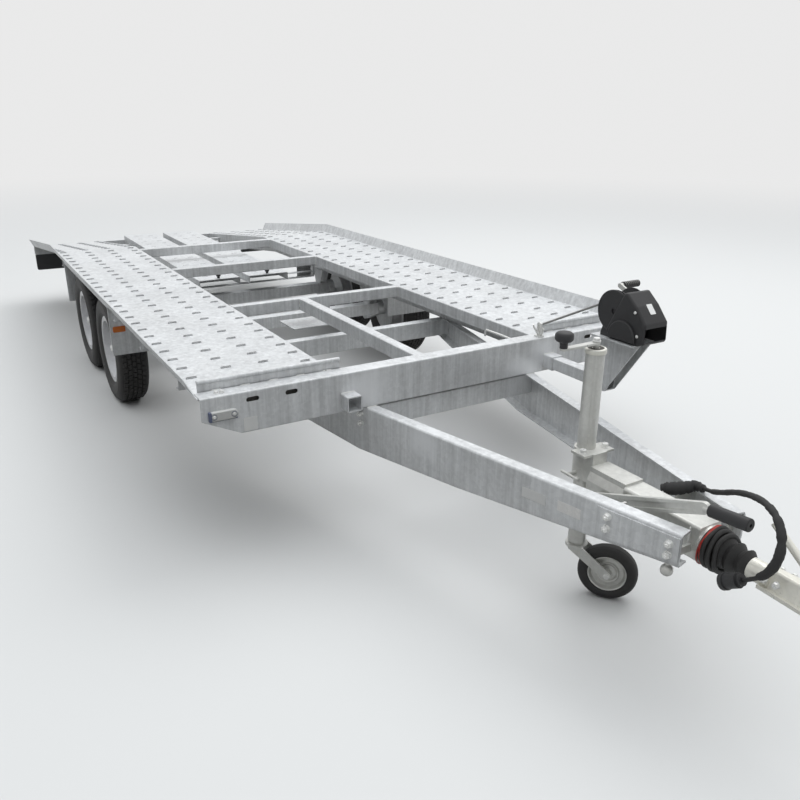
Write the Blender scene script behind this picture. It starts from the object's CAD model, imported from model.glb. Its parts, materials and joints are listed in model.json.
import bpy
import bmesh
import json
from math import atan, cos, hypot, pi, radians, sin, tan
from mathutils import Euler, Matrix, Vector


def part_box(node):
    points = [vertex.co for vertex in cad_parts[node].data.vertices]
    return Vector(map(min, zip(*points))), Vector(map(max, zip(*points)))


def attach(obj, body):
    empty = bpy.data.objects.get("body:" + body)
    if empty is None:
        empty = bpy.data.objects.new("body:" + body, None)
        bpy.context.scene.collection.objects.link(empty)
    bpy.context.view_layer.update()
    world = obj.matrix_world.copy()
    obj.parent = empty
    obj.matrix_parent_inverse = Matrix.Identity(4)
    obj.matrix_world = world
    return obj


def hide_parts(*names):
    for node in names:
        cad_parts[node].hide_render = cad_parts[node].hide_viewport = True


# Car transporter trailer. Metres, +X forwards, +Y to the left, Z up from the ground.
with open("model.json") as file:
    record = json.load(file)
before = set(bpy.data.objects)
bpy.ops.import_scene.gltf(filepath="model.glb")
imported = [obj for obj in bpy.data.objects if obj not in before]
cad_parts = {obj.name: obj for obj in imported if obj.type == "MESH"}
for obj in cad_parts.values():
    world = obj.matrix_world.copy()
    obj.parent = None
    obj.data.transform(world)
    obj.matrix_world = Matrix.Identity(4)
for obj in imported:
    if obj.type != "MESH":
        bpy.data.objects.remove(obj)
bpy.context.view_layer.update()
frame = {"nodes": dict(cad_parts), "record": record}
print("frame loaded", len(frame["nodes"]), "nodes")

beamDepth = 0.065
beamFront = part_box("deck_track_left")[1].x + beamDepth
ahead, behind, left, right, above = (1, 0, 0), (-1, 0, 0), (0, 1, 0), (0, -1, 0), (0, 0, 1)
sides = (("Left", 1), ("Right", -1))


def at(x, y, z, side=1):
    # A place measured ahead of the front beam's face, mirrored where the side is -1
    return Vector((beamFront + x, side * y, z))


def middle(node):
    low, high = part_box(node)
    return (Vector(low) + Vector(high)) / 2


def addObject(name, data):
    made = bpy.data.objects.new(name, data)
    bpy.context.scene.collection.objects.link(made)
    return made


# Camera, at the photograph's place and angle
cameraSettings = {
    "place": (beamFront + 2.339, -1.664, 1.55), "yaw": 149.06, "pitch": 20.84, "roll": 0.31,
    "lens": 34.0, "sensor": 36.0, "reach": 60.0,
}


def makeCamera(place, yaw, pitch, roll, lens, sensor, reach):
    data = bpy.data.cameras.new("photoCamera")
    data.lens, data.sensor_width, data.clip_end = lens, sensor, reach
    turn = Euler((radians(90 - pitch), 0, radians(yaw - 90))).to_matrix() @ Matrix.Rotation(radians(roll), 3, "Z")
    camera = addObject("photoCamera", data)
    camera.location = place
    camera.rotation_euler = turn.to_euler()
    bpy.context.scene.camera = camera


makeCamera(**cameraSettings)


# Tools for the materials
def newMaterial(name):
    material = bpy.data.materials.new(name)
    material.use_nodes = True
    tree = material.node_tree
    tree.nodes.clear()
    output = tree.nodes.new("ShaderNodeOutputMaterial")
    shader = tree.nodes.new("ShaderNodeBsdfPrincipled")
    tree.links.new(shader.outputs[0], output.inputs[0])
    return material, tree, shader


def setInputs(tree, node, inputs):
    # Each input gets a value, or a link from a socket
    for key, value in inputs.items():
        if isinstance(value, bpy.types.NodeSocket):
            tree.links.new(value, node.inputs[key])
        else:
            node.inputs[key].default_value = value


def addNode(tree, kind, inputs, **settings):
    # The outputs of a new node
    node = tree.nodes.new(kind)
    for key, value in settings.items():
        setattr(node, key, value)
    setInputs(tree, node, inputs)
    return node.outputs


def maths(tree, operation, *terms, clamp=False):
    # The terms joined one after another, with the clamp on the last result
    total = terms[0]
    for i, term in enumerate(terms[1:], 2):
        last = clamp and i == len(terms)
        total = addNode(tree, "ShaderNodeMath", {0: total, 1: term}, operation=operation, use_clamp=last)[0]
    return total


def remap(tree, value, ends=(0.0, 1.0), results=(0.0, 1.0), curve="LINEAR"):
    inputs = dict(zip(("Value", "From Min", "From Max", "To Min", "To Max"), (value, *ends, *results)))
    return addNode(tree, "ShaderNodeMapRange", inputs, interpolation_type=curve)[0]


def noise(tree, place, scale, detail, roughness=0.5):
    inputs = {"Vector": place, "Scale": scale, "Detail": detail, "Roughness": roughness}
    return addNode(tree, "ShaderNodeTexNoise", inputs)["Fac"]


def mixed(tree, share, first, second):
    inputs = {"Factor": share, "A": first, "B": second}
    return addNode(tree, "ShaderNodeMix", inputs, data_type="RGBA")["Result"]


def objectPlace(tree):
    return tree.nodes.new("ShaderNodeTexCoord").outputs["Object"]


def newGroup(name, kind, inputs, outputs):
    # An empty node group with its named sockets
    group = bpy.data.node_groups.new(name, kind)
    for label, socketKind, start in inputs:
        socket = group.interface.new_socket(label, in_out="INPUT", socket_type=socketKind)
        if start is not None:
            socket.default_value = start
    for label, socketKind in outputs:
        group.interface.new_socket(label, in_out="OUTPUT", socket_type=socketKind)
    return group, group.nodes.new("NodeGroupInput").outputs, group.nodes.new("NodeGroupOutput")


wearAmounts = ("Roughness", "Cells", "Cell Strength", "Cloud Strength", "Run Strength", "Dirt Amount")
wearSettings = {
    # noises: scale, detail, roughness
    "clouds": (3.2, 5.0, 0.6), "runs": (1.0, 4.0, 0.65), "grain": (420.0, 2.0), "patches": (1.4, 8.0, 0.7),
    "runStretch": (48.0, 48.0, 2.4), "contrast": (0.25, 0.75), "patchEdge": (0.5, 0.72),
    "cellRough": (-0.05, 0.05), "runRough": (-0.1, 0.1), "runHeight": 0.4,
}


def makeWearGroup(clouds, runs, grain, patches, runStretch, contrast, patchEdge, cellRough, runRough, runHeight):
    # Colour, roughness and height of a metal surface: crystal cells, clouds, runs and dirt
    group, given, leave = newGroup("metalWear", "ShaderNodeTree", (
        ("Base", "NodeSocketColor", (0.6, 0.6, 0.6, 1)),
        ("Dirt", "NodeSocketColor", (0.25, 0.2, 0.14, 1)),
        *((label, "NodeSocketFloat", 0.1) for label in wearAmounts),
    ), (("Colour", "NodeSocketColor"), ("Rough", "NodeSocketFloat"), ("Height", "NodeSocketFloat")))
    place = objectPlace(group)
    stretched = addNode(group, "ShaderNodeMapping", {"Scale": runStretch, "Vector": place})[0]
    cells = addNode(group, "ShaderNodeTexVoronoi", {"Vector": place, "Scale": given["Cells"]})["Color"]
    cellGrey = addNode(group, "ShaderNodeSeparateColor", {0: cells})
    run = noise(group, stretched, *runs)

    def shade(socket, strength):
        # the socket's 0 to 1 becomes 1 plus or minus the strength
        results = [maths(group, operation, 1.0, strength) for operation in ("SUBTRACT", "ADD")]
        return remap(group, socket, contrast, results)

    tone = maths(group, "MULTIPLY", shade(cellGrey[0], given["Cell Strength"]),
                 shade(noise(group, place, *clouds), given["Cloud Strength"]), shade(run, given["Run Strength"]))
    shaded = addNode(group, "ShaderNodeVectorMath", {0: given["Base"], "Scale": tone}, operation="SCALE")[0]
    dirt = maths(group, "MULTIPLY", remap(group, noise(group, place, *patches), patchEdge), given["Dirt Amount"])
    rough = maths(group, "ADD", given["Roughness"], remap(group, cellGrey[1], results=cellRough),
                  remap(group, run, results=runRough), dirt, clamp=True)
    height = maths(group, "ADD", maths(group, "MULTIPLY", run, runHeight), noise(group, place, *grain))
    setInputs(group, leave, {"Colour": mixed(group, dirt, shaded, given["Dirt"]), "Rough": rough, "Height": height})
    return group


wearGroup = makeWearGroup(**wearSettings)


def addFinish(tree, shader, colour, rough, height, edge, strength, depth):
    # Colour, roughness and a bump over softened edges go to the shader
    rounded = addNode(tree, "ShaderNodeBevel", {"Radius": edge}, samples=4)[0]
    bump = addNode(tree, "ShaderNodeBump", {
        "Strength": strength, "Distance": depth, "Height": height, "Normal": rounded,
    })
    setInputs(tree, shader, {"Base Color": colour, "Roughness": rough, "Normal": bump[0]})


metalDepth = 0.0004  # of the bump


def metal(name, colour, metallic, bump, edge, *amounts):
    # A metal surface from the shared wear group
    material, tree, shader = newMaterial(name)
    inputs = {"Base": (*colour, 1), **dict(zip(wearAmounts, amounts))}
    if name in dustColours:
        inputs["Dirt"] = (*dustColours[name], 1)
    wear = addNode(tree, "ShaderNodeGroup", inputs, node_tree=wearGroup)
    addFinish(tree, shader, wear["Colour"], wear["Rough"], wear["Height"], edge, bump, metalDepth)
    shader.inputs["Metallic"].default_value = metallic
    return material


plainSettings = {
    # detail and roughness of the clouds, then the grain's detail
    "clouds": (6.0, 0.65), "grain": 3.0, "stops": (0.3, 0.75), "edge": 0.0015, "depth": 0.0008,
}


def plain(name, dark, light, rough, cloudScale, grainScale, bump):
    # Rubber, plastic and lenses: a base colour broken by clouds, with a fine grain
    material, tree, shader = newMaterial(name)
    place = objectPlace(tree)
    clouds = noise(tree, place, cloudScale, *plainSettings["clouds"])
    ramp = tree.nodes.new("ShaderNodeValToRGB")
    tree.links.new(clouds, ramp.inputs[0])
    for stop, position, colour in zip(ramp.color_ramp.elements, plainSettings["stops"], (dark, light)):
        stop.position = position
        stop.color = (*colour, 1)
    grain = noise(tree, place, grainScale, plainSettings["grain"])
    addFinish(tree, shader, ramp.outputs[0], remap(tree, clouds, results=rough), grain,
              plainSettings["edge"], bump, plainSettings["depth"])
    return material


# each row starts with the frame's slot that a piece of the material stands for
metals = {
    # colour, metallic, bump, edge, then the amounts of wear
    "galvanised": ("galvanised", (0.64, 0.65, 0.655), 0.25, 0.15, 0.0018, 0.4, 80.0, 0.04, 0.1, 0.2, 0.08),
    "zinc": ("zinc", (0.62, 0.62, 0.59), 0.42, 0.08, 0.0012, 0.36, 90.0, 0.03, 0.07, 0.06, 0.06),
    "wheelPaint": ("wheel_paint", (0.82, 0.82, 0.83), 0.15, 0.06, 0.0012, 0.38, 90.0, 0.02, 0.07, 0.03, 0.22),
    "boltZinc": ("zinc", (0.8, 0.8, 0.78), 0.4, 0.05, 0.0006, 0.32, 90.0, 0.02, 0.05, 0.02, 0.05),
    "slitShade": ("galvanised", (0.075, 0.07, 0.062), 0.3, 0.2, 0.0005, 0.75, 90.0, 0.1, 0.3, 0.1, 0.3),
    "blackPaint": ("black_plastic", (0.024, 0.024, 0.026), 0.0, 0.15, 0.001, 0.42, 300.0, 0.08, 0.2, 0.05, 0.3),
    "cableSteel": ("zinc", (0.3, 0.3, 0.29), 0.4, 0.3, 0.0004, 0.45, 300.0, 0.1, 0.1, 0.05, 0.1),
    "creamCast": ("zinc", (0.8, 0.785, 0.71), 0.35, 0.1, 0.0015, 0.34, 90.0, 0.03, 0.08, 0.04, 0.1),
    "silverPlate": ("galvanised", (0.82, 0.81, 0.79), 0.15, 0.05, 0.0004, 0.42, 120.0, 0.03, 0.12, 0.05, 0.1),
}
dustColours = {"blackPaint": (0.13, 0.125, 0.13)}
lensRough = (0.26, 0.4)
plains = {
    # dark and light colour, roughness, scale of clouds, scale of grain, bump
    "tyre": ("tyre", (0.014, 0.014, 0.015), (0.045, 0.043, 0.04), (0.55, 0.8), 9.0, 300.0, 0.3),
    "rubber": ("black_rubber", (0.01, 0.01, 0.01), (0.022, 0.021, 0.02), (0.5, 0.7), 14.0, 500.0, 0.2),
    "blackPlastic": ("black_plastic", (0.013, 0.013, 0.014), (0.026, 0.026, 0.028), (0.42, 0.58), 12.0, 900.0, 0.25),
    "clearLens": ("clear_lens", (0.6, 0.6, 0.58), (0.72, 0.72, 0.7), lensRough, 20.0, 60.0, 0.05),
    "redLens": ("red_lens", (0.3, 0.008, 0.006), (0.48, 0.02, 0.012), lensRough, 20.0, 60.0, 0.05),
    "amberLens": ("red_lens", (0.75, 0.16, 0.01), (0.9, 0.24, 0.02), lensRough, 20.0, 60.0, 0.05),
    "sleeveCloth": ("cable_sheath", (0.012, 0.012, 0.013), (0.028, 0.027, 0.026), (0.6, 0.8), 40.0, 900.0, 0.5),
    "whiteLabel": ("clear_lens", (0.86, 0.86, 0.84), (0.93, 0.93, 0.91), (0.35, 0.5), 30.0, 200.0, 0.05),
    "redWire": ("cable_sheath", (0.35, 0.02, 0.012), (0.55, 0.045, 0.03), (0.3, 0.45), 20.0, 200.0, 0.05),
    "markerHousing": ("black_plastic", (0.1, 0.12, 0.2), (0.16, 0.18, 0.27), (0.3, 0.45), 20.0, 200.0, 0.05),
}
materials, pieceSlots = {}, {}
for make, rows in ((metal, metals), (plain, plains)):
    for name, (slot, *row) in rows.items():
        materials[name] = make(name, *row)
        pieceSlots[name] = slot


def mixBase(name, mask, colour):
    # The colour lies over the material's base colour where the mask is 1
    tree = materials[name].node_tree
    target = next(node for node in tree.nodes if node.type == "BSDF_PRINCIPLED").inputs["Base Color"]
    tree.links.new(mixed(tree, mask, target.links[0].from_socket, (*colour, 1)), target)


# Zinc sprayed over the welds
spraySettings = {
    "colour": (0.8, 0.81, 0.82), "drift": (14.0, 4.0), "ragged": (-0.05, 0.05), "core": 0.02, "cover": 0.85,
    "spots": (
        ((0.0, -0.395, 0.59), 0.13), ((0.0, 0.35, 0.535), 0.13), ((0.0, 0.44, 0.59), 0.1),
        ((0.3, -0.342, 0.47), 0.1),
    ),
}


def addSprays(colour, drift, ragged, core, cover, spots):
    group, given, leave = newGroup("weldSpray", "ShaderNodeTree", (
        ("Centre", "NodeSocketVector", (0, 0, 0)), ("Reach", "NodeSocketFloat", 0.1),
    ), (("Mask", "NodeSocketFloat"),))
    place = objectPlace(group)
    away = addNode(group, "ShaderNodeVectorMath", {0: place, 1: given["Centre"]}, operation="DISTANCE")
    edge = maths(group, "ADD", away["Value"], remap(group, noise(group, place, *drift), results=ragged))
    setInputs(group, leave, {0: remap(group, edge, (core, given["Reach"]), (cover, 0.0), "SMOOTHSTEP")})
    tree = materials["galvanised"].node_tree
    masks = [
        addNode(tree, "ShaderNodeGroup", {"Centre": at(*centre), "Reach": reach}, node_tree=group)[0]
        for centre, reach in spots
    ]
    mixBase("galvanised", maths(tree, "MAXIMUM", *masks), colour)


# The bright ferrule at the cable's eye
ferruleSettings = {"colour": (0.72, 0.72, 0.7), "end": -0.002}


def addFerrule(colour, end):
    tree = materials["cableSteel"].node_tree
    split = addNode(tree, "ShaderNodeSeparateXYZ", {0: objectPlace(tree)})
    mixBase("cableSteel", maths(tree, "LESS_THAN", split["X"], at(end, 0, 0).x), colour)


addSprays(**spraySettings)
addFerrule(**ferruleSettings)

slotMaterials = {
    "galvanised": "galvanised", "zinc": "zinc", "wheel_paint": "wheelPaint", "tyre": "tyre", "black_rubber": "rubber",
    "black_plastic": "blackPlastic", "black_paint": "blackPaint", "clear_lens": "clearLens", "red_lens": "redLens",
    "cable_sheath": "rubber",
}
ownMaterials = {"coupling_handle": "creamCast", "coupling_head": "creamCast", "winch_cable": "cableSteel"}
for entry in frame["record"]["subparts"]:
    node = entry["node"]
    nodeMaterials = frame["nodes"][node].data.materials
    nodeMaterials.clear()
    nodeMaterials.append(materials[ownMaterials.get(node, slotMaterials[entry["material_slot"]])])
print("materials made")


# Each shape is its points and its faces
def moved(shape, matrix):
    return [matrix @ point for point in shape[0]], shape[1]


def shifted(shape, place):
    return moved(shape, Matrix.Translation(place))


def stood(shape, place, normal, up=above):
    # The shape at a place, with its Z along the normal and its Y towards up
    along = Vector(normal).normalized()
    side = Vector(up).cross(along)
    if side.length < 0.001:
        side = Vector(ahead).cross(along)
    side.normalize()
    turn = Matrix((side, along.cross(side), along)).transposed().to_4x4()
    return moved(shape, Matrix.Translation(Vector(place)) @ turn)


def merged(shapes):
    points, faces = [], []
    for shapePoints, shapeFaces in shapes:
        start = len(points)
        points += shapePoints
        faces += [tuple(start + corner for corner in face) for face in shapeFaces]
    return points, faces


def angles(count):
    return [2 * pi * i / count for i in range(count)]


def skin(rings, closedWay=False, caps=True):
    # Faces between rings of points; a ring of one point is a pole
    points, numbers = [], []
    for ring in rings:
        numbers.append(list(range(len(points), len(points) + len(ring))))
        points += [Vector(point) for point in ring]
    faces = []
    pairs = list(zip(numbers, numbers[1:]))
    if closedWay:
        pairs.append((numbers[-1], numbers[0]))
    for first, second in pairs:
        count = max(len(first), len(second))
        for i in range(count):
            j = (i + 1) % count
            if len(first) == 1:
                faces.append((first[0], second[j], second[i]))
            elif len(second) == 1:
                faces.append((first[i], first[j], second[0]))
            else:
                faces.append((first[i], first[j], second[j], second[i]))
    if caps and not closedWay:
        faces += [tuple(ring) for ring in (numbers[0][::-1], numbers[-1]) if len(ring) > 2]
    return points, faces


tiny = 0.00001  # shorter than this counts as nothing


def lathe(rows, count, closedWay=False):
    # Rows of radius and height turned about Z; a row on the axis is one point
    rings = []
    for radius, height in rows:
        around = angles(count) if radius > tiny else [0]
        rings.append([(radius * cos(a), radius * sin(a), height) for a in around])
    return skin(rings, closedWay)


def mirroredLathe(rows, count):
    # A closed profile that is the same on both sides of its middle plane
    return lathe(list(rows) + [(radius, -across) for radius, across in reversed(rows)], count, closedWay=True)


def hoop(radius, wide, high, steps, count):
    # A ring about Z with an oval section
    return lathe([(radius + wide * cos(a), high * sin(a)) for a in angles(steps)], count, closedWay=True)


def slotOutline(length, width, corners):
    # Points round a slot that is long along Y
    half = (length - width) / 2
    return [
        (width / 2 * cos(pi * i / corners + start), end * half + width / 2 * sin(pi * i / corners + start))
        for end, start in ((1, 0), (-1, pi)) for i in range(corners + 1)
    ]


def boxOutline(width, height, corner=0.0, steps=3):
    # Points round a rectangle with rounded corners, its middle at the origin
    quarters = ((1, -1), (1, 1), (-1, 1), (-1, -1))
    if corner <= 0:
        return [(sx * width / 2, sy * height / 2) for sx, sy in quarters]
    points = []
    for i, (sx, sy) in enumerate(quarters):
        for k in range(steps + 1):
            angle = pi / 2 * (i - 1 + k / steps)
            points.append((sx * (width / 2 - corner) + corner * cos(angle),
                           sy * (height / 2 - corner) + corner * sin(angle)))
    return points


def prism(outline, low, high, chamfer=0.0):
    # An outline pushed from low to high, its top edge cut by the chamfer
    reach = max(hypot(x, y) for x, y in outline)
    rings = []
    for height, inset in ((low, 0), (high - chamfer, 0), (high, chamfer))[:3 if chamfer else 2]:
        scale = (reach - inset) / reach
        rings.append([(x * scale, y * scale, height) for x, y in outline])
    return skin(rings)


def plate(width, height, corner, thick, chamfer=0.0):
    return prism(boxOutline(width, height, corner), 0, thick, chamfer)


def tubeAlong(points, radius, count=10, closedWay=False, flat=1.0):
    # A round or flattened bar through the points; radius is one value or one for each point
    places = [Vector(point) for point in points]
    radii = radius if isinstance(radius, list) else [radius] * len(places)
    rings = []
    up = None
    last = len(places) - 1
    for i, place in enumerate(places):
        before = places[i - 1] if i or closedWay else place
        after = places[(i + 1) % len(places)] if i < last or closedWay else place
        along = (after - before).normalized()
        if up is None:
            up = Vector(above if abs(along.z) < 0.9 else ahead)
        side = up.cross(along).normalized()
        up = along.cross(side).normalized()
        rings.append([place + radii[i] * (cos(a) * side + flat * sin(a) * up) for a in angles(count)])
    return skin(rings, closedWay)


boltShares = {
    # shares of the width across the flats
    "washer": 0.12, "chamfer": 0.07, "thread": 0.3, "tip": 0.24,
    # shares of the head's radius: the washer's wall and top, the head's top
    "wall": 1.12, "seat": 1.05, "crown": 0.87,
    # shares of a height, where the washer and the thread begin to narrow
    "washerEdge": 0.7, "threadEdge": 0.8,
}


def hexBolt(across, head=0.6, stub=0.0):
    # A chamfered hexagon head on its washer, with the bolt's end where it is a nut
    share = boltShares
    radius = across / 2 / cos(pi / 6)
    washer, wall, seat = across * share["washer"], radius * share["wall"], radius * share["seat"]
    top = washer + across * head
    edge, crown = top - across * share["chamfer"], radius * share["crown"]
    shapes = [
        lathe(((0, 0), (wall, 0), (wall, washer * share["washerEdge"]), (seat, washer), (0, washer)), count=20),
        lathe(((0, washer), (radius, washer), (radius, edge), (crown, top), (0, top)), count=6),
    ]
    if stub:
        thread, tip = across * share["thread"], across * share["tip"]
        edge, end = top + stub * share["threadEdge"], top + stub
        shapes.append(lathe(((0, top), (thread, top), (thread, edge), (tip, end), (0, end)), count=12))
    return merged(shapes)


def panHead(radius):
    # A low round screw head with a hollow for its driver; radius and height as shares
    rows = ((0, 0), (1, 0), (1, 0.3), (0.8, 0.55), (0.35, 0.62), (0, 0.4))
    return lathe([(radius * reach, radius * height) for reach, height in rows], count=14)


def toMesh(name, shape):
    mesh = bpy.data.meshes.new(name)
    mesh.from_pydata([tuple(point) for point in shape[0]], [], shape[1])
    return mesh


def evaluatedMesh(piece):
    bpy.context.view_layer.update()
    return bpy.data.meshes.new_from_object(piece.evaluated_get(bpy.context.evaluated_depsgraph_get()))


roundSmooth = 60.0


def makePiece(name, shapes, material, body="chassis", smooth=38.0, replaces=()):
    # One object at the origin from the shapes, its doubles merged and its faces outwards
    mesh = toMesh(name, merged(shapes))
    work = bmesh.new()
    work.from_mesh(mesh)
    bmesh.ops.remove_doubles(work, verts=work.verts, dist=tiny)
    bmesh.ops.recalc_face_normals(work, faces=work.faces)
    work.to_mesh(mesh)
    work.free()
    mesh.shade_smooth()
    mesh.set_sharp_from_angle(angle=radians(smooth))
    mesh.materials.append(materials[material])
    piece = addObject(name, mesh)
    for node in replaces:
        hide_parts(node)
    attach(piece, body)
    return piece


# One piece repeated along a line or round an axis
def makeRepeatGroup():
    group, given, leave = newGroup("repeatPiece", "GeometryNodeTree", (
        ("Geometry", "NodeSocketGeometry", None),
        ("Count", "NodeSocketInt", 2),
        ("Step", "NodeSocketVector", (0, 0, 0)),
        ("Turn", "NodeSocketVector", (0, 0, 0)),
        ("Finish", "NodeSocketMaterial", None),
    ), (("Geometry", "NodeSocketGeometry"),))
    line = addNode(group, "GeometryNodeMeshLine", {"Count": given["Count"], "Offset": given["Step"]}, mode="OFFSET")
    index = group.nodes.new("GeometryNodeInputIndex").outputs[0]
    turned = addNode(group, "ShaderNodeVectorMath", {0: given["Turn"], "Scale": index}, operation="SCALE")
    placed = addNode(group, "GeometryNodeInstanceOnPoints", {
        "Points": line[0], "Instance": given["Geometry"], "Rotation": turned[0],
    })
    solid = addNode(group, "GeometryNodeRealizeInstances", {0: placed[0]})
    finished = addNode(group, "GeometryNodeSetMaterial", {"Geometry": solid[0], "Material": given["Finish"]})
    setInputs(group, leave, {0: finished[0]})
    return group


repeatGroup = makeRepeatGroup()
repeatSockets = {item.name: item.identifier for item in repeatGroup.interface.items_tree if item.in_out == "INPUT"}


def repeated(shape, count, material, step=(0, 0, 0), turn=(0, 0, 0)):
    # The shape placed count times, each one a step and a turn on from the last
    piece = addObject("repeatWork", toMesh("repeatWork", shape))
    modifier = piece.modifiers.new("repeat", "NODES")
    modifier.node_group = repeatGroup
    inputs = {"Count": count, "Step": step, "Turn": turn, "Finish": materials[material]}
    for label, value in inputs.items():
        modifier[repeatSockets[label]] = value
    mesh = evaluatedMesh(piece)
    piece.modifiers.clear()
    bpy.data.objects.remove(piece)
    return [vertex.co.copy() for vertex in mesh.vertices], [tuple(face.vertices) for face in mesh.polygons]


# Electric lead
wrapSettings = {
    "points": (
        (0.998, 0.06, 0.492), (1.012, 0.07, 0.497), (1.034, 0.088, 0.503), (1.052, 0.107, 0.51),
        (1.068, 0.122, 0.5185), (1.088, 0.1228, 0.5212), (1.104, 0.1198, 0.5212),
    ),
    "radii": (0.014, 0.0195, 0.0205, 0.0185, 0.016, 0.012, 0.0095), "around": 18,
    "steps": 5, "tape": 0.0007, "wobble": 0.001, "pace": 1.7,
}


def makeLeadWrap(points, radii, around, steps, tape, wobble, pace):
    # Tape wound over the place where the lead comes out between arm and housing
    places = [at(*point) for point in points]
    way, sizes = [], []
    for i in range(len(places) - 1):
        for k in range(steps):
            share, count = k / steps, len(sizes)
            way.append(places[i].lerp(places[i + 1], share))
            size = radii[i] * (1 - share) + radii[i + 1] * share
            sizes.append(size + tape * (1 if count % 2 else -1) + wobble * sin(count * pace))
    wrap = tubeAlong(way, sizes, around)
    makePiece("leadWrap", [wrap], "sleeveCloth", smooth=roundSmooth, replaces=["lead_sleeve"])


def makeCord(name, points, radius):
    data = bpy.data.curves.new(name, "CURVE")
    data.dimensions = "3D"
    data.bevel_depth = radius
    data.bevel_resolution = 4
    data.resolution_u = 8
    data.use_fill_caps = True
    spline = data.splines.new("NURBS")
    spline.points.add(len(points) - 1)
    for point, place in zip(spline.points, points):
        point.co = (*place, 1)
    spline.order_u = 3
    spline.use_endpoint_u = True
    data.materials.append(materials["rubber"])
    return addObject(name, data)


def cordPath(points):
    # The places that the cord's own spline goes through
    guide = makeCord("leadGuide", points, 0.0)
    places = [vertex.co.copy() for vertex in evaluatedMesh(guide).vertices]
    bpy.data.objects.remove(guide)
    return places


sleeveSettings = {
    "span": (0.1, 0.945), "flat": 0.78, "around": 16, "cuff": 0.85,
    "sizes": (0.0102, 0.0104, 0.0106, 0.0108, 0.011, 0.0116, 0.0124, 0.0128, 0.0112),
    "creases": (0.43, 0.53, 0.7), "creaseReach": 0.025, "creaseDepth": 0.0024,
    "waves": ((0.0004, 0.9, 0.0), (0.0004, 2.3, 1.0)),  # height, pace, start
}


def makeLeadSleeve(places, span, flat, around, cuff, sizes, creases, creaseReach, creaseDepth, waves):
    # A loose woven sleeve over the lead, with soft creases
    first, last = (int(len(places) * share) for share in span)
    covered = places[first:last]
    radii = []
    for i in range(len(covered)):
        share = i / (len(covered) - 1)
        spot = min(share * (len(sizes) - 1), len(sizes) - 1.001)
        low, high = sizes[int(spot)], sizes[int(spot) + 1]
        pinch = max(0.0, 1 - min(abs(share - crease) for crease in creases) / creaseReach)
        wave = sum(height * sin(i * pace + start) for height, pace, start in waves)
        radii.append(low + (high - low) * (spot % 1) + wave - creaseDepth * pinch)
    radii[0] = radii[-1] = sizes[0] * cuff
    return makePiece("leadSleeve", [tubeAlong(covered, radii, around, flat=flat)], "sleeveCloth", smooth=roundSmooth)


leadSettings = {
    "route": (
        (1.06, 0.13, 0.521), (1.10877, 0.118946, 0.521), (1.176, 0.09, 0.552), (1.252, 0.052, 0.6),
        (1.334, 0.01, 0.632), (1.4, -0.03, 0.642), (1.449, -0.06, 0.622), (1.473, -0.082, 0.578),
        (1.47, -0.096, 0.53), (1.444, -0.104, 0.49), (1.405, -0.104, 0.464),
    ),
    "radius": 0.006, "length": 0.656,
}


def makeLead(route, radius, length):
    points = [(beamFront + x, y, z) for x, y, z in route]
    leadSleeve = makeLeadSleeve(cordPath(points), **sleeveSettings)
    lead = makeCord("electricLead", points, radius)
    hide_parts("electric_lead")
    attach(lead, "chassis")


makeLeadWrap(**wrapSettings)
makeLead(**leadSettings)
print("lead made")


# Pressed rims and dark throats of the slits in the tracks and ramps
slitSettings = {
    "length": 0.04, "width": 0.007, "corners": 4, "smooth": 50.0,
    "columns": ((0.975, 0.299), (0.825, 0.357), (0.676, 0.352), (0.529, 0.282)),  # across, first slit
    "pitch": 0.126, "deckTop": 0.639, "bend": 3.357, "end": 4.755, "endGap": 0.02, "drop": 0.155,
    # sections: distance from the slit's wall, and height
    "rim": ((0.0016, -0.0003), (0.00072, 0.00064), (0.0004, 0.0008), (-0.0002, 0.00056), (-0.0002, -0.0035),
            (0.0016, -0.0003)),
    "throat": ((-0.0003, 0.0006), (-0.0009, 0.0006), (-0.0009, -0.01), (-0.0003, -0.01), (-0.0003, 0.0006)),
    "rampColumns": (0.107, 0.229), "rampPitch": 0.15, "rampTop": 0.532, "rampFirst": 2.56, "rampCount": 14,
}


def makeSlits(length, width, corners, smooth, columns, pitch, deckTop, bend, end, endGap, drop, rim, throat,
              rampColumns, rampPitch, rampTop, rampFirst, rampCount):
    slope = drop / (end - bend)

    def around(rows):
        # the section goes all round a slit
        return skin([
            [(x, y, height) for x, y in slotOutline(length + 2 * offset, width + 2 * offset, corners)]
            for offset, height in rows
        ], caps=False)

    def row(shape, material, count, pitch, place, slope=0.0):
        tilted = moved(shape, Matrix.Rotation(-atan(slope), 4, "Y"))
        return shifted(repeated(tilted, count, material, (-pitch, 0, -pitch * slope)), place)

    kinds = (("Rims", "galvanised", around(rim)), ("Throats", "slitShade", around(throat)))
    for word, side in sides:
        for label, material, shape in kinds:
            rows = []
            for across, first in columns:
                count = int((end - endGap - first) / pitch) + 1
                flat = int((bend - first) / pitch) + 1
                start = first + pitch * flat
                rows.append(row(shape, material, flat, pitch, at(-first, across, deckTop, side)))
                height = deckTop - slope * (start - bend)
                rows.append(row(shape, material, count - flat, pitch, at(-start, across, height, side), slope))
            makePiece("slit" + label + word, rows, material, smooth=smooth)
            places = [at(-rampFirst, across, rampTop, side) for across in rampColumns]
            rows = [row(shape, material, rampCount, rampPitch, place) for place in places]
            makePiece("rampSlit" + label + word, rows, material, "stored_ramp_" + word.lower(), smooth)


makeSlits(**slitSettings)
print("slits made")


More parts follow.
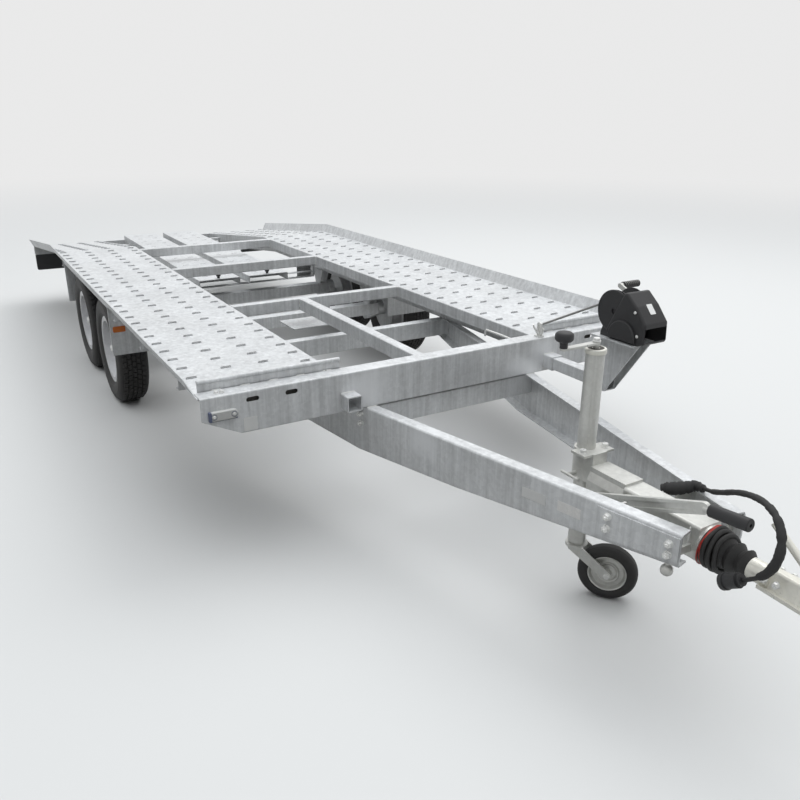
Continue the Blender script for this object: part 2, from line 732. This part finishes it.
# Tyres, wheel bolts and hub caps
tyreSettings = {
    # radius and distance from the wheel's middle plane
    "wall": ((0.174, 0.059), (0.186, 0.0665), (0.19, 0.068), (0.194, 0.0705), (0.208, 0.0775), (0.2095, 0.0788),
             (0.212, 0.0788), (0.2135, 0.0795), (0.232, 0.0822), (0.24, 0.0825), (0.252, 0.0818), (0.2535, 0.0822),
             (0.256, 0.0822), (0.258, 0.0808), (0.272, 0.0785), (0.281, 0.0745), (0.288, 0.0685), (0.2915, 0.06)),
    "around": 96, "blocks": 58, "gap": 0.16, "skew": 0.22, "shoulder": (0.03, 0.0022),
    # rows of blocks: across, width, shift along the tread
    "rows": ((0.0, 0.017, 0.0), (0.0235, 0.019, 0.5), (-0.0235, 0.019, 0.5), (0.0485, 0.02, 0.0),
             (-0.0485, 0.02, 0.0)),
    "foot": 0.2875, "tread": 0.2996, "edge": 0.0012, "top": 0.93,
}


def makeTyre(name, node, body, wall, around, blocks, gap, skew, shoulder, rows, foot, tread, edge, top):
    # the lathe turns about Z: Y becomes the wheel's axis
    shapes = [moved(mirroredLathe(wall, around), Matrix.Rotation(pi / 2, 4, "X"))]
    turn = 2 * pi / blocks
    for across, width, shift in rows:
        lean = skew * ((across > 0) - (across < 0))
        outline = boxOutline(turn * tread * (1 - gap), width)
        drop = shoulder[1] if abs(across) > shoulder[0] else 0.0
        rings = [[
            ((x + lean * y) * shrink, across + y * shrink,
             height - drop * max(0.0, (abs(y + across) - abs(across)) / width * 2))
            for x, y in outline
        ] for height, shrink in ((foot, 1.0), (tread - edge, 1.0), (tread, top))]
        block = moved(skin(rings), Matrix.Rotation(shift * turn, 4, "Y"))
        shapes.append(repeated(block, blocks, "tyre", turn=(0, turn, 0)))
    makePiece(name, [shifted(shape, middle(node)) for shape in shapes], "tyre", body, 30.0, [node])


wheelSettings = {
    "circle": 0.058, "bolts": 5, "firstBolt": 0.3, "bolt": (0.019, 0.75), "face": 0.013,
    # radius and height
    "cap": ((0, 0), (0.025, 0), (0.025, 0.004), (0.022, 0.006), (0.021, 0.014), (0.0175, 0.0185), (0.00875, 0.0205),
            (0, 0.021)),
    "capFace": 0.041,
    "valve": ((0, 0), (0.006, 0), (0.0062, 0.006), (0.0042, 0.012), (0.004, 0.026), (0.0046, 0.027),
              (0.0046, 0.034), (0.003, 0.036), (0, 0.036)),
    "valvePlace": (0.12154, 0.004, -0.12154), "valveLean": (-0.25, 0, 0.25),
}


def makeWheelDetails(name, centre, body, side, circle, bolts, firstBolt, bolt, face, cap, capFace,
                     valve, valvePlace, valveLean):
    outward = Vector((0, side, 0))
    shapes = []
    for angle in angles(bolts):
        offset = Vector((sin(angle + firstBolt), 0, cos(angle + firstBolt))) * circle
        shapes.append(stood(hexBolt(*bolt), centre + offset + outward * face, outward))
    makePiece(name + "Bolts", shapes, "boltZinc", body)
    makePiece(name + "Cap", [stood(lathe(cap, count=28), centre + outward * capFace, outward)], "boltZinc", body)
    x, y, z = valvePlace
    shape = stood(lathe(valve, count=12), centre + Vector((x, side * y, z)), outward + Vector(valveLean))
    makePiece(name + "Valve", [shape], "rubber", body)


for end in ("front", "rear"):
    for word, side in sides:
        place = end + "_" + word.lower()
        makeTyre(end + word + "Tyre", "tyre_" + place, "wheel_" + place, **tyreSettings)
        makeWheelDetails(end + word, middle("tyre_" + place), "wheel_" + place, side, **wheelSettings)
print("wheels made")


# Jockey wheel: tyre, rim, crank, tube cap and nuts
crankSettings = {
    "axis": 0.735, "reach": 0.135,
    "knob": ((0, 0.0), (0.0122, 0.0), (0.0126, 0.015), (0.014, 0.0185), (0.023, 0.0222), (0.0272, 0.0268),
             (0.0282, 0.031), (0.0282, 0.0405), (0.0262, 0.0458), (0.0215, 0.0494), (0.011, 0.0514), (0, 0.0518)),
    "knobLow": 0.8952, "bar": (0.8882, 0.8952, 0.0008), "barWidth": 0.022,
    "boss": ((0, 0.8842), (0.0115, 0.8842), (0.0115, 0.8972), (0.009775, 0.8982), (0, 0.8982)),
    "cap": ((0.0292, 0.8615), (0.0342, 0.8615), (0.0342, 0.8736), (0.0322, 0.8761), (0.0282, 0.8766),
            (0.0115, 0.8766), (0.0115, 0.8746), (0.0292, 0.8726)),
    "hollow": ((0.0125, 0.8756), (0.0255, 0.8756), (0.0255, 0.877), (0.0125, 0.877)),
    "nut": (0.02, 0.4), "nutLow": 0.898,
}


def makeCrank(axis, reach, knob, knobLow, bar, barWidth, boss, cap, hollow, nut, nutLow):
    centre = at(axis, 0, 0)
    grip = shifted(lathe(knob, count=40), at(axis, -reach, knobLow))
    makePiece("jockeyKnob", [grip], "blackPlastic", "jockey_handle")
    arm = shifted(prism(slotOutline(reach + barWidth, barWidth, corners=10), *bar), at(axis, -reach / 2, 0))
    crankParts = [arm, shifted(lathe(boss, count=24), centre)]
    makePiece("jockeyCrank", crankParts, "zinc", "jockey_handle", replaces=["jockey_crank"])
    makePiece("jockeyCap", [shifted(lathe(cap, count=48, closedWay=True), centre)], "creamCast", "jockey_tube")
    shade = shifted(lathe(hollow, count=40, closedWay=True), centre)
    makePiece("jockeyCapShade", [shade], "slitShade", "jockey_tube")
    makePiece("jockeyCrankNut", [shifted(hexBolt(*nut), at(axis, 0, nutLow))], "boltZinc", "jockey_handle")


jockeySettings = {
    "turn": 38.0,
    # radius and distance from the wheel's middle plane
    "tyre": ((0.0615, 0.0185), (0.066, 0.0205), (0.071, 0.0232), (0.08, 0.0246), (0.088, 0.0236), (0.0935, 0.0205),
             (0.0972, 0.015), (0.0975, 0.0125), (0.099, 0.0115), (0.0998, 0.004)),
    "rim": ((0.0085, 0.0245), (0.0135, 0.0245), (0.0145, 0.0225), (0.015, 0.0105), (0.029, 0.0085),
            (0.031, 0.0115), (0.0335, 0.0135), (0.0365, 0.0138), (0.039, 0.0118), (0.0405, 0.0075),
            (0.0535, 0.007), (0.057, 0.011), (0.0585, 0.018), (0.0602, 0.0212), (0.0625, 0.0222),
            (0.0642, 0.0212), (0.0645, 0.019), (0.0625, 0.017), (0.0615, 0.008)),
    "nut": (0.017, 0.35), "nutFace": 0.0354,
}


def makeJockey(turn, tyre, rim, nut, nutFace):
    centre = middle("jockey_tyre")
    axis = Vector((-sin(radians(turn)), cos(radians(turn)), 0))
    wheel = stood(mirroredLathe(tyre, count=72), centre, axis)
    makePiece("jockeyTyre", [wheel], "tyre", "jockey_roller", 50.0, ["jockey_tyre"])
    wheel = stood(mirroredLathe(rim, count=64), centre, axis)
    makePiece("jockeyRim", [wheel], "zinc", "jockey_roller", 40.0, ["jockey_rim"])
    makeCrank(**crankSettings)
    nuts = [stood(hexBolt(*nut), centre + axis * side * nutFace, axis * side) for side in (1, -1)]
    makePiece("jockeyHubNuts", nuts, "boltZinc", "jockey_caster")


makeJockey(**jockeySettings)
print("jockey wheel made")


# Black knobs on the ramps
rampKnobSettings = {
    "place": (-2.47, 0.168, 0.5321),
    "profile": ((0, 0), (0.0085, 0), (0.0085, 0.01), (0.0145, 0.013), (0.0146, 0.02), (0.0135, 0.0225),
                (0.01, 0.0242), (0, 0.0245)),
}


def makeRampKnobs(place, profile):
    for word, side in sides:
        knob = shifted(lathe(profile, count=24), at(*place, side))
        makePiece("rampKnob" + word, [knob], "blackPlastic", "stored_ramp_" + word.lower())


makeRampKnobs(**rampKnobSettings)


# Winch: drum windings, crank grip, hood trim, cable hook
winchSettings = {
    "drum": (0.39, 0.485, 0.862), "rope": 0.0042, "turns": 8, "coil": 0.034,
    "gripPlace": (0.2856, 0.574, 0.9248), "length": 0.0885, "radius": 0.0138,
    "grooves": 8, "groove": (0.0008, 0.0015),  # depth and half its width
    "nearRound": (0.002, 0.003), "farRound": (0.003, 0.004, 0.001), "farFace": 0.0075,
    "hoodFace": 0.425, "rim": (0.077, 0.0028, 0.0018, 8, 64), "rimSunk": 0.004,
    "screw": 0.006, "screwSunk": 0.0005, "screws": ((0.108, 0.018), (0.128, -0.066), (0.03, -0.072)),
}


def makeWinch(drum, rope, turns, coil, gripPlace, length, radius, grooves, groove, nearRound, farRound, farFace,
              hoodFace, rim, rimSunk, screw, screwSunk, screws):
    drum = at(*drum)
    winding = moved(hoop(coil, rope, rope, steps=8, count=32), Matrix.Rotation(pi / 2, 4, "X"))
    windings = repeated(winding, turns, "zinc", (0, rope * 2, 0))
    windings = shifted(windings, drum - Vector((0, rope * (turns - 1), 0)))
    makePiece("drumWindings", [windings], "zinc", "winch_spool", roundSmooth)
    # radius and height of the grip, with its grooves
    depth, half = groove
    rows = [(0, 0), (radius - nearRound[0], 0), (radius, nearRound[1])]
    for i in range(1, grooves + 1):
        place = length * i / (grooves + 1)
        rows += [(radius, place - half), (radius - depth, place), (radius, place + half)]
    inset, wall, top = farRound
    rows += [(radius, length - wall), (radius - inset, length - top), (farFace, length), (0, length)]
    makePiece("winchGrip", [stood(lathe(rows, count=28), at(*gripPlace), left)], "rubber", "winch_handle")
    # a rolled rim and screws on the near face of the hood
    shape = stood(hoop(*rim), Vector((drum.x, hoodFace + rimSunk, drum.z)), right)
    makePiece("hoodRim", [shape], "blackPaint", smooth=roundSmooth)
    places = [Vector((drum.x + x, hoodFace - screwSunk, drum.z + z)) for x, z in screws]
    makePiece("hoodScrews", [stood(panHead(screw), place, right) for place in places], "boltZinc")


# A forked hook on the cable's end, its tail standing up beside the eye
hookSettings = {
    "eye": (-0.022, 0.44, 0.6615), "wire": 0.0048,
    # each wire's places from the eye, and its thickness there as a share
    "wires": (
        ((0, 0.004, 0, 1), (-0.002, -0.012, 0.02, 1), (-0.003, -0.03, 0.045, 0.9), (-0.001, -0.034, 0.056, 0.6)),
        ((0.003, 0, -0.014, 1), (0.006, 0.01, 0.012, 1), (0.014, 0.01, 0.032, 1), (0.006, 0, 0.04, 1)),
        ((0, -0.016, -0.006, 0.85), (0, 0.018, -0.006, 0.85)),
    ),
}


def makeCableHook(eye, wire, wires):
    shapes = []
    for rows in wires:
        points = [at(*eye) + Vector(row[:3]) for row in rows]
        shapes.append(tubeAlong(points, [wire * row[3] for row in rows]))
    makePiece("cableHook", shapes, "boltZinc", smooth=roundSmooth)


makeWinch(**winchSettings)
makeCableHook(**hookSettings)
print("winch made")


# Blank labels and plates
armSettings = {"slope": 0.22672, "y": 0.41}


def armSpot(x, z, side):
    # A place on the outer face of a drawbar arm's web, and its outward direction
    slope = armSettings["slope"]
    return at(x, armSettings["y"] - slope * x, z, side), Vector((slope, side, 0)).normalized()


labelSettings = {
    # width, height, corner and thickness of each, then its place
    "armLabel": ((0.09, 0.034, 0.003, 0.0005), (0.766, 0.4415)),
    "armPlate": ((0.082, 0.034, 0.002, 0.0005), (0.8925, 0.4445)),
    "beamLabels": (((0.05, 0.05, 0.003, 0.0005), (0.0002, -0.864, 0.5395)),
                   ((0.024, 0.016, 0.002, 0.0005), (0.0002, 0.687, 0.587))),
    "hoodLabel": ((0.028, 0.042, 0.002, 0.0005), (0.510901, 0.49, 0.8881634)), "hoodSlope": (0.7525, 0, 0.6586),
    "lift": 0.0002,
}


def makeLabels(armLabel, armPlate, beamLabels, hoodLabel, hoodSlope, lift):
    def onArm(size, spot):
        place, normal = armSpot(*spot, -1)
        return stood(plate(*size), place + normal * lift, normal)

    whites = [onArm(*armLabel)]
    for (size, place), normal in ((beamLabels[0], ahead), (beamLabels[1], ahead), (hoodLabel, hoodSlope)):
        whites.append(stood(plate(*size), at(*place), normal))
    makePiece("whiteLabels", whites, "whiteLabel")
    makePiece("silverPlate", [onArm(*armPlate)], "silverPlate")


makeLabels(**labelSettings)
print("labels made")


# Bolts and nuts on the chassis
boltSettings = {
    "armNut": (0.019, 0.6, 0.006), "beamBolt": 0.013, "clampBolt": 0.019, "lap": 0.004, "up": (0.3, 0, 1),
    "armSpots": ((1.02, 0.478), (1.02, 0.44), (1.204, 0.474), (1.204, 0.44), (-0.028, 0.478), (-0.028, 0.44)),
    "beamPlaces": ((-0.03, 0.948, 0.6604), (-0.03, 0.968, 0.6604)), "clampPlace": (0.771, -0.048, 0.545),
}


def makeBolts(armNut, beamBolt, clampBolt, lap, up, armSpots, beamPlaces, clampPlace):
    shapes = []
    for side in (1, -1):
        for x, z in armSpots:
            place, normal = armSpot(x, z, side)
            # the front ones stand on the plate that laps the arm
            shapes.append(stood(hexBolt(*armNut), place + normal * (lap if x > 0 else 0), normal, up))
        shapes += [stood(hexBolt(beamBolt), at(*place, side), above) for place in beamPlaces]
    shapes += [stood(hexBolt(clampBolt), at(*clampPlace, side), above) for side in (1, -1)]
    makePiece("chassisBolts", shapes, "boltZinc")


makeBolts(**boltSettings)
print("bolts made")


# Rear lamps, front markers, side markers
lampSettings = {
    "front": -4.755, "depth": 0.035, "lens": 0.012, "inner": 0.79, "outer": 1.02, "low": 0.276, "high": 0.406,
    "corner": 0.012, "lensCorner": 0.004, "border": 0.004, "gap": 0.0008, "overlap": 0.002, "edge": 0.0015,
    "amberShare": 0.34, "clearShare": 0.2,
}


def makeRearLamps(front, depth, lens, inner, outer, low, high, corner, lensCorner, border, gap, overlap, edge,
                  amberShare, clearShare):
    width, height = outer - inner, high - low
    usable = width - 2 * border
    amber, clear = usable * amberShare, usable * clearShare
    # from the outer edge inwards: amber, red, clear
    spans = (("amber", 0, amber), ("red", amber, usable - clear), ("clear", usable - clear, usable))
    for word, side in sides:
        centre = at(front, (inner + outer) / 2, (low + high) / 2, side)
        housing = stood(plate(width, height, corner, depth - lens + overlap, edge), centre, behind)
        makePiece("lampHousing" + word, [housing], "blackPlastic", replaces=["rear_lamp_" + word.lower()])
        for label, start, end in spans:
            outline = boxOutline(end - start - gap, height - 2 * border, lensCorner)
            shift = Vector((0, side * (width / 2 - border - (start + end) / 2), 0))
            shape = stood(prism(outline, depth - lens, depth, edge), centre + shift, behind)
            makePiece(label + "Lens" + word, [shape], label + "Lens")


markerSettings = {
    # places on the left side; sizes are width, height, corner, thickness and chamfer
    "bar": ((0, 0.959, 0.574), (0.098, 0.004, 0.001, 0.004)),
    "cap": ((0, 1.0055, 0.592), (0.01, 0.035, 0.003, 0.0126, 0.001)),
    "screw": 0.0055, "screws": ((0.012, 0.923, 0.592), (0.012, 0.993, 0.592)),
    "ring": (0.0095, 0.0009, 0.0009, 6, 24),
    "amber": ((-1.6432, 0.97, 0.497), (0.062, 0.03, 0.006, 0.007, 0.002)),
}


def makeMarkers(bar, cap, screw, screws, ring, amber):
    def both(shape, place):
        return [stood(shape, at(*place, side), ahead) for side in (1, -1)]

    trim = both(plate(*cap[1]), cap[0]) + both(plate(*bar[1]), bar[0])
    heads = []
    for place in screws:
        trim += both(hoop(*ring), place)
        heads += both(panHead(screw), place)
    makePiece("markerTrim", trim, "markerHousing")
    makePiece("markerScrews", heads, "boltZinc")
    makePiece("sideMarkers", both(plate(*amber[1]), amber[0]), "amberLens")


makeRearLamps(**lampSettings)
makeMarkers(**markerSettings)
print("lamps made")


# Bellows trim, coupling bolts, hanging knob, hook at the rear of the beam
bootSettings = {
    "z": 0.44, "steps": 48, "waves": ((0.035, 3, 1), (0.02, 5, 2)),  # height, count, phase's share
    # x, radius, thickness, phase, tilt in degrees
    "wires": ((1.2355, 0.06, 0.0024, 0.4, 6.0), (1.2415, 0.0585, 0.0024, 0.4, -5.0)),
    "folds": ((1.25, 0.056, 0.0075, 0.0, -4.0), (1.266, 0.0545, 0.008, 1.3, -4.0),
              (1.283, 0.052, 0.0075, 2.9, -4.0)),
}


def makeBootTrim(z, steps, waves, wires, folds):
    def wavyRing(x, radius, thick, phase, tilt):
        # a closed ring round the shaft, a little uneven, tilted in degrees
        points = []
        for angle in angles(steps):
            reach = radius * (1 + sum(high * sin(count * angle + share * phase) for high, count, share in waves))
            lean = tan(radians(tilt)) * cos(angle) * radius
            points.append(at(x + lean, reach * sin(angle), z + reach * cos(angle)))
        return tubeAlong(points, thick, closedWay=True)

    makePiece("redWires", [wavyRing(*row) for row in wires], "redWire", smooth=roundSmooth)
    makePiece("bootFolds", [wavyRing(*row) for row in folds], "rubber", smooth=roundSmooth)


couplingSettings = {
    # across, then the place on the left side
    "bolts": ((0.017, (1.53, 0.0172, 0.4893)), (0.015, (1.418, 0.0335, 0.452)), (0.015, (1.452, 0.0335, 0.452))),
    "leverBolt": (0.019, (0.87, 0.0815, 0.43)),
    "knob": ((0, -0.017), (0.01, -0.0165), (0.016, -0.011), (0.018, -0.003), (0.0165, 0.006), (0.011, 0.013),
             (0.0065, 0.016), (0.006, 0.042), (0, 0.042)),
    "knobPlace": (1.192, -0.118, 0.379),
    "hook": ((-0.235, 0.316, 0.628), (-0.235, 0.316, 0.65), (-0.228, 0.3165, 0.657), (-0.15, 0.32, 0.657),
             (-0.066, 0.323, 0.655)),
    "hookWire": 0.0045,
}


def makeCouplingTrim(bolts, leverBolt, knob, knobPlace, hook, hookWire):
    def bolt(across, place, side):
        return stood(hexBolt(across), at(*place, side), (0, side, 0))

    makePiece("couplingBolts", [bolt(*row, side) for side in (1, -1) for row in bolts], "boltZinc")
    makePiece("leverBolt", [bolt(*leverBolt, -1)], "boltZinc")
    makePiece("underKnob", [shifted(lathe(knob, count=24), at(*knobPlace))], "zinc")
    wire = tubeAlong([at(*place) for place in hook], hookWire)
    makePiece("rearHook", [wire], "boltZinc", smooth=roundSmooth)


makeBootTrim(**bootSettings)
makeCouplingTrim(**couplingSettings)
print("coupling trim made")


# Weld beads, plates on the arms, sheet behind the beam's slots
weldSettings = {
    "thick": 0.0032, "thin": 0.0028, "ripple": 0.006, "valley": 0.82, "end": 0.35,
    # upright beads: x places, y places, lower and upper end
    "upright": (
        ((-1.27, -1.31, -2.366, -2.406, -3.2, -3.24), (0.4825, -0.4825), (0.577, 0.633)),
        ((-1.27, -0.0655), (-0.119, -0.071), (0.577, 0.633)),
        ((1.0125, 1.1965), (0.0505, -0.0505), (0.425, 0.495)),
    ),
    # beads under the beam at the arms' flanges: x, inner and outer end, z
    "flanges": ((0.001, 0.365, 0.408, 0.509), (-0.066, 0.3799635, 0.4229635, 0.509)),
    # round the receiver sleeves: middle and half size
    "sleeve": ((0.0008, 0.485, 0.555), (0.0279, 0.0306)),
    # short beads under the roll of the track: first place, pitch, length
    "roll": ((-0.0645, 0.52, 0.6605), 0.105, 0.035), "rollCount": 5,
}


def makeWelds(thick, thin, ripple, valley, end, upright, flanges, sleeve, roll, rollCount):
    beads = []

    def bead(first, last, radius=thick):
        # a rippled bead, half sunk into its joint
        steps = max(4, int((last - first).length / ripple * 2))
        points = [first.lerp(last, i / steps) for i in range(steps + 1)]
        radii = [radius * (1.0 if i % 2 else valley) for i in range(steps + 1)]
        radii[0] = radii[-1] = radius * end
        beads.append(tubeAlong(points, radii, count=6))

    for xs, ys, (low, high) in upright:
        for x in xs:
            for y in ys:
                bead(at(x, y, low), at(x, y, high))
    for side in (1, -1):
        for x, inner, outer, z in flanges:
            bead(at(x, inner, z, side), at(x, outer, z, side))
        (x, y, z), (wide, tall) = sleeve
        corners = [at(x, side * y + a * wide, z + b * tall) for a, b in ((-1, -1), (1, -1), (1, 1), (-1, 1))]
        for first, last in zip(corners, corners[1:] + corners[:1]):
            bead(first, last, thin)
        (x, y, z), pitch, length = roll
        for i in range(rollCount):
            bead(at(x, y + pitch * i, z, side), at(x, y + pitch * i + length, z, side), thin)
    makePiece("weldBeads", beads, "boltZinc", smooth=roundSmooth)


armPlateSettings = {
    # x, lower and upper edge at each end
    "rear": (0.985, 0.4026, 0.4985), "front": (1.2325, 0.423, 0.4985), "lift": 0.0002, "thick": 0.004,
}


def makeArmPlates(rear, front, lift, thick):
    plates = []
    for side in (1, -1):
        corners = ((rear[0], rear[2]), (front[0], front[2]), (front[0], front[1]), (rear[0], rear[1]))
        spots = [armSpot(x, z, side) for x, z in corners]
        plates.append(skin([[place + normal * out for place, normal in spots] for out in (lift, thick)]))
    makePiece("armPlates", plates, "galvanised")


slotSheetSettings = {
    "places": ((-0.0165, 0.851, 0.628), (-0.0165, 0.707, 0.628)), "sheet": (0.056, 0.026, 0.004, 0.001),
}


def makeSlotSheets(places, sheet):
    shapes = [stood(plate(*sheet), at(*place, side), ahead) for side in (1, -1) for place in places]
    makePiece("slotSheets", shapes, "slitShade")


makeWelds(**weldSettings)
makeArmPlates(**armPlateSettings)
makeSlotSheets(**slotSheetSettings)
print("welds made")


# Floor, light
backdrop = (0.82, 0.82, 0.82, 1)
floorSettings = {
    "size": 60.0, "colour": (0.64, 0.64, 0.63, 1), "bounce": (0.12, 0.12, 0.115, 1), "rough": 0.85,
    "fade": (5.0, 18.0), "glow": (0.14, 1.0),
}


def seenRays(tree):
    # 1 for rays from the camera, in reflections and through glass
    path = tree.nodes.new("ShaderNodeLightPath").outputs
    return maths(tree, "MAXIMUM", *(path["Is " + kind + " Ray"] for kind in ("Camera", "Glossy", "Transmission")))


def makeFloor(size, colour, bounce, rough, fade, glow):
    corners = [(x, y, 0) for x, y in boxOutline(size, size)]
    floor = addObject("floor", toMesh("floor", (corners, [(0, 1, 2, 3)])))
    material, tree, shader = newMaterial("floorPaint")
    seen = seenRays(tree)
    setInputs(tree, shader, {"Base Color": mixed(tree, seen, bounce, colour), "Roughness": rough})
    # far from the object the floor runs into the backdrop
    distance = addNode(tree, "ShaderNodeVectorMath", {0: objectPlace(tree)}, operation="LENGTH")
    far = remap(tree, distance["Value"], fade, curve="SMOOTHSTEP")
    light = addNode(tree, "ShaderNodeEmission", {"Color": backdrop, "Strength": remap(tree, seen, results=glow)})
    output = next(node for node in tree.nodes if node.type == "OUTPUT_MATERIAL")
    blend = addNode(tree, "ShaderNodeMixShader", {0: far, 1: shader.outputs[0], 2: light[0]})
    setInputs(tree, output, {0: blend[0]})
    floor.data.materials.append(material)


skySettings = {"colour": (0.94, 0.97, 1.0, 1), "rise": (0.42, 0.97), "strength": (0.04, 2.3)}


def makeSky(colour, rise, strength):
    world = bpy.data.worlds.new("studio")
    world.use_nodes = True
    tree = world.node_tree
    tree.nodes.clear()
    direction = tree.nodes.new("ShaderNodeTexCoord").outputs["Generated"]
    height = addNode(tree, "ShaderNodeSeparateXYZ", {0: direction})["Z"]
    lights = [
        addNode(tree, "ShaderNodeBackground", {"Color": shade, "Strength": power})[0]
        for shade, power in ((colour, remap(tree, height, rise, strength)), (backdrop, 1.0))
    ]
    blend = addNode(tree, "ShaderNodeMixShader", {0: seenRays(tree), 1: lights[0], 2: lights[1]})
    addNode(tree, "ShaderNodeOutputWorld", {0: blend[0]})
    bpy.context.scene.world = world


keySettings = {"place": (-1.0, 4.0, 7.0), "target": (0.0, 0.0, 0.5), "size": (7.0, 5.0), "power": 190.0}


def makeKeyLight(place, target, size, power):
    data = bpy.data.lights.new("keyLight", "AREA")
    data.shape = "RECTANGLE"
    data.size, data.size_y = size
    data.energy = power
    lamp = addObject("keyLight", data)
    lamp.location = place
    lamp.rotation_euler = (Vector(target) - Vector(place)).to_track_quat("-Z", "Y").to_euler()


makeFloor(**floorSettings)
makeSky(**skySettings)
makeKeyLight(**keySettings)
bpy.context.scene.view_settings.view_transform = "Standard"
print("stage made")
